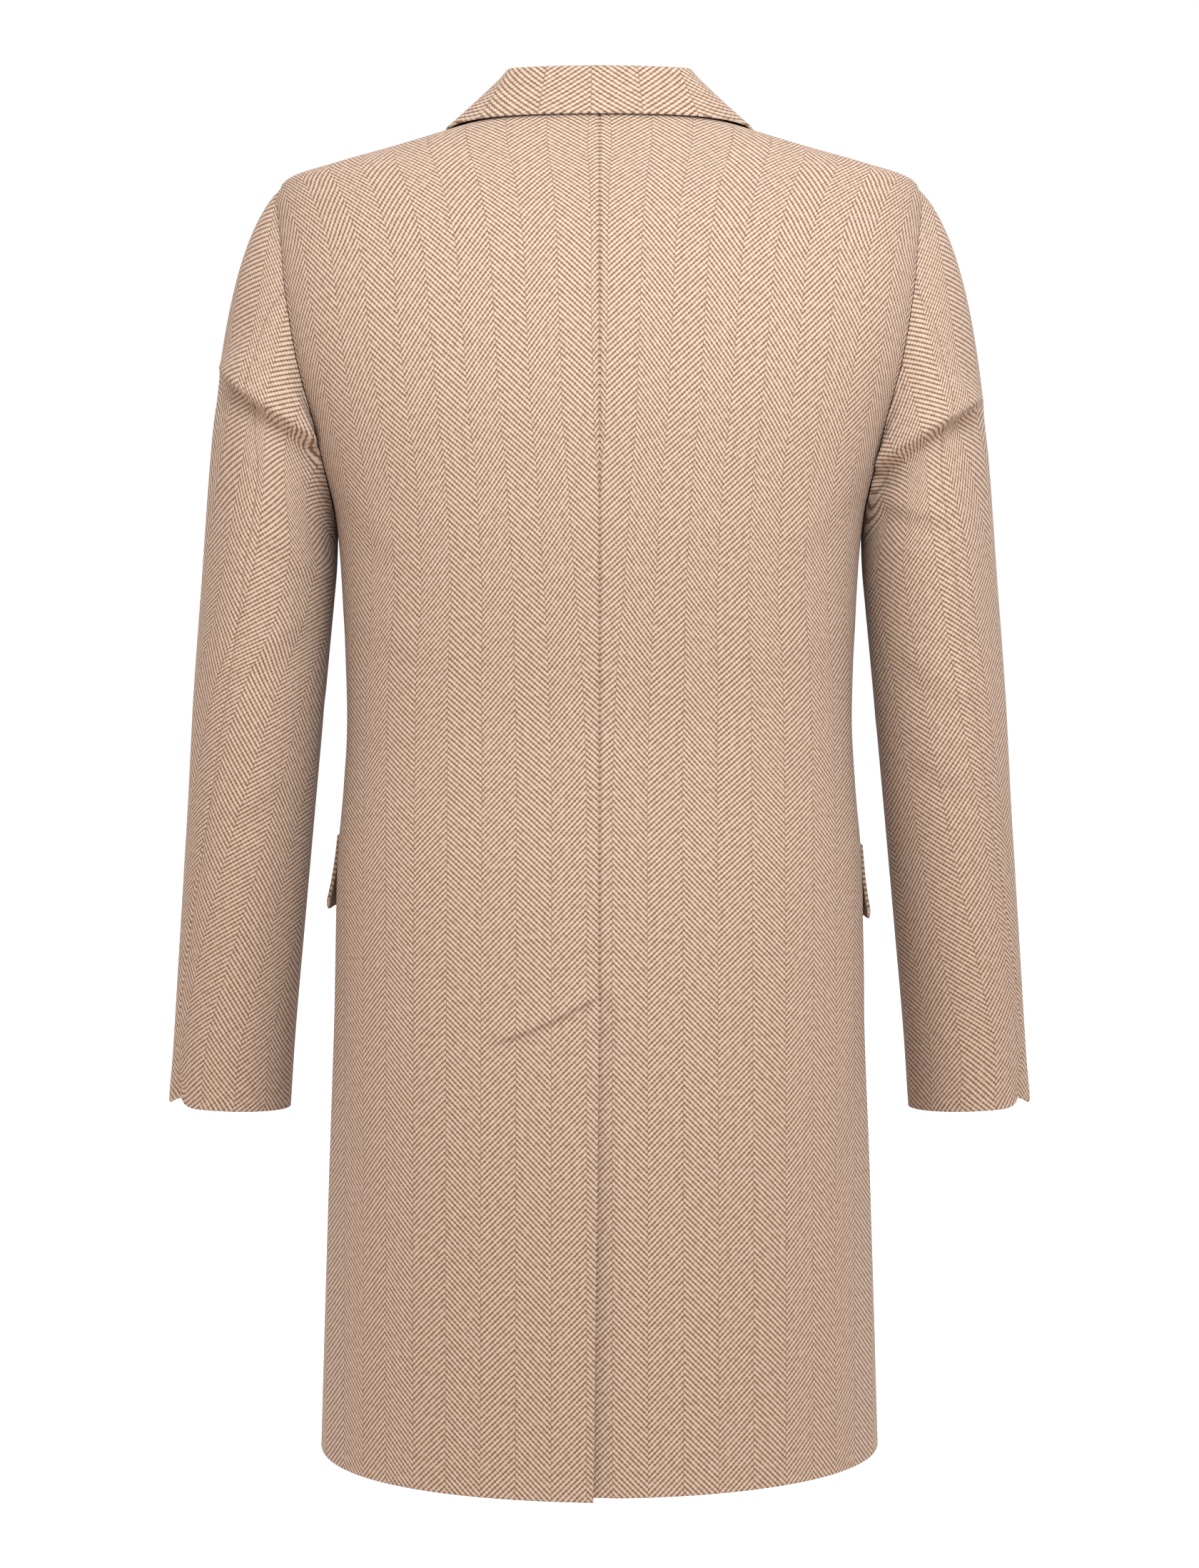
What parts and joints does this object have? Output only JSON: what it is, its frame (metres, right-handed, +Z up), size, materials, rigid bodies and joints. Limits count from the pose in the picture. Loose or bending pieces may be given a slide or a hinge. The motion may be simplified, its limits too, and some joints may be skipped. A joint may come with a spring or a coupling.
{
  "type": "double-breasted coat",
  "caption": "Men's double-breasted herringbone wool coat, filled out as if worn, with peaked lapels, flap pockets and a centre back vent.",
  "frame": {"origin": "middle of the neck, level with the collar seam at the centre back", "axes": "+Z up, +Y out of the wearer's back, +X towards the wearer's left"},
  "size_m": [0.6342, 0.3299, 0.9998],
  "materials": {
    "wool": "herringbone wool overcoating, light camel brown and cream, slightly napped",
    "horn": "polished dark brown horn"
  },
  "bodies": {
    "root": {"back_left": "wool", "back_right": "wool", "front_left": "wool", "front_right": "wool", "sleeve_top_left": "wool", "sleeve_under_left": "wool", "sleeve_top_right": "wool", "sleeve_under_right": "wool", "collar_fall": "wool", "collar_stand": "wool", "lapel_left": "wool", "lapel_right": "wool", "pocket_flap_left": "wool", "pocket_flap_right": "wool", "button_lap_1": "horn", "button_body_1": "horn", "button_lap_2": "horn", "button_body_2": "horn", "button_lap_3": "horn", "button_body_3": "horn"}
  },
  "joints": []
}
